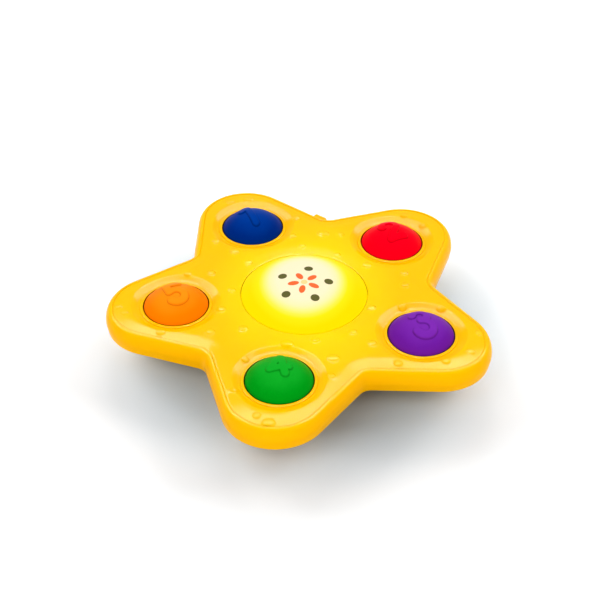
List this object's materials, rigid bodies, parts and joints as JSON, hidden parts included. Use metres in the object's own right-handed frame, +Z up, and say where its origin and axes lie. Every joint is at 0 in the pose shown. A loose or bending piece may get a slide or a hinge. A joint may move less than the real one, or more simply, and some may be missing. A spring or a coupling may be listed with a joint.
{
  "type": "suction cup toy",
  "caption": "Star-shaped baby toy with a domed press button in each arm, a glowing middle lens, a slide switch on its flank and suction cups underneath.",
  "frame": {"origin": "middle of the toy's footprint on the table, at the plane of the suction cups' lips", "axes": "+Z up out of the deck, +Y towards the arm of button 1, +X to the right of it; the numbers on the buttons read with +Y as up"},
  "size_m": [0.2324, 0.224, 0.0363],
  "materials": {
    "shell": "satin moulded ABS, warm yellow",
    "lens": "milky translucent yellow, lit from inside",
    "white_plastic": "matt white",
    "circuit_board": "green solder mask",
    "lamp": "clear lamp",
    "black_plastic": "matt black",
    "steel": "zinc-plated steel",
    "battery": "plain sleeve, no markings",
    "grey_rubber": "grey silicone",
    "clear_rubber": "translucent soft vinyl",
    "button_blue": "satin moulded",
    "button_red": "satin moulded",
    "button_purple": "satin moulded",
    "button_green": "satin moulded",
    "button_orange": "satin moulded"
  },
  "bodies": {
    "housing": {"top_shell": "shell", "bottom_shell": "shell", "lens": "lens", "reflector": "white_plastic", "main_board": "circuit_board", "leds": "lamp", "sound_chip": "black_plastic", "switch_case": "steel", "speaker_frame": "steel", "speaker_cone": "black_plastic", "contacts_left": "steel", "contacts_right": "steel", "housing_screws": "steel", "board_screws": "steel", "reflector_screws": "steel", "battery_1": "battery", "battery_2": "battery", "battery_3": "battery", "rubber_key_1": "grey_rubber", "rubber_key_2": "grey_rubber", "rubber_key_3": "grey_rubber", "rubber_key_4": "grey_rubber", "rubber_key_5": "grey_rubber", "suction_cup_1": "clear_rubber", "suction_cup_2": "clear_rubber", "suction_cup_3": "clear_rubber", "suction_cup_4": "clear_rubber", "suction_cup_5": "clear_rubber"},
    "button_1": {"button_1": "button_blue"},
    "button_2": {"button_2": "button_red"},
    "button_3": {"button_3": "button_purple"},
    "button_4": {"button_4": "button_green"},
    "button_5": {"button_5": "button_orange"},
    "slider": {"slider_knob": "shell", "switch_lever": "black_plastic"},
    "door": {"battery_door": "shell"},
    "door_screw": {"door_screw": "steel"}
  },
  "joints": [
    {"name": "button_1_press", "type": "slide", "parent": "housing", "child": "button_1", "axis": [0, 0, -1], "range_m": [0, 0.0025], "stiffness_N_per_m": 800, "springref_m": -0.002, "deforming": ["rubber_key_1"]},
    {"name": "button_2_press", "type": "slide", "parent": "housing", "child": "button_2", "axis": [0, 0, -1], "range_m": [0, 0.0025], "stiffness_N_per_m": 800, "springref_m": -0.002, "deforming": ["rubber_key_2"]},
    {"name": "button_3_press", "type": "slide", "parent": "housing", "child": "button_3", "axis": [0, 0, -1], "range_m": [0, 0.0025], "stiffness_N_per_m": 800, "springref_m": -0.002, "deforming": ["rubber_key_3"]},
    {"name": "button_4_press", "type": "slide", "parent": "housing", "child": "button_4", "axis": [0, 0, -1], "range_m": [0, 0.0025], "stiffness_N_per_m": 800, "springref_m": -0.002, "deforming": ["rubber_key_4"]},
    {"name": "button_5_press", "type": "slide", "parent": "housing", "child": "button_5", "axis": [0, 0, -1], "range_m": [0, 0.0025], "stiffness_N_per_m": 800, "springref_m": -0.002, "deforming": ["rubber_key_5"]},
    {"name": "slider_move", "type": "slide", "parent": "housing", "child": "slider", "axis": [-0.4467, 0.8947, 0], "range_m": [0, 0.008]},
    {"name": "door_lift", "type": "slide", "parent": "housing", "child": "door", "axis": [0, 0, -1], "range_m": [0, 0.03]},
    {"name": "door_screw_turn", "type": "hinge", "parent": "door", "child": "door_screw", "pos_m": [0, -0.04363, 0.0035], "axis": [0, 0, 1], "continuous": true}
  ]
}
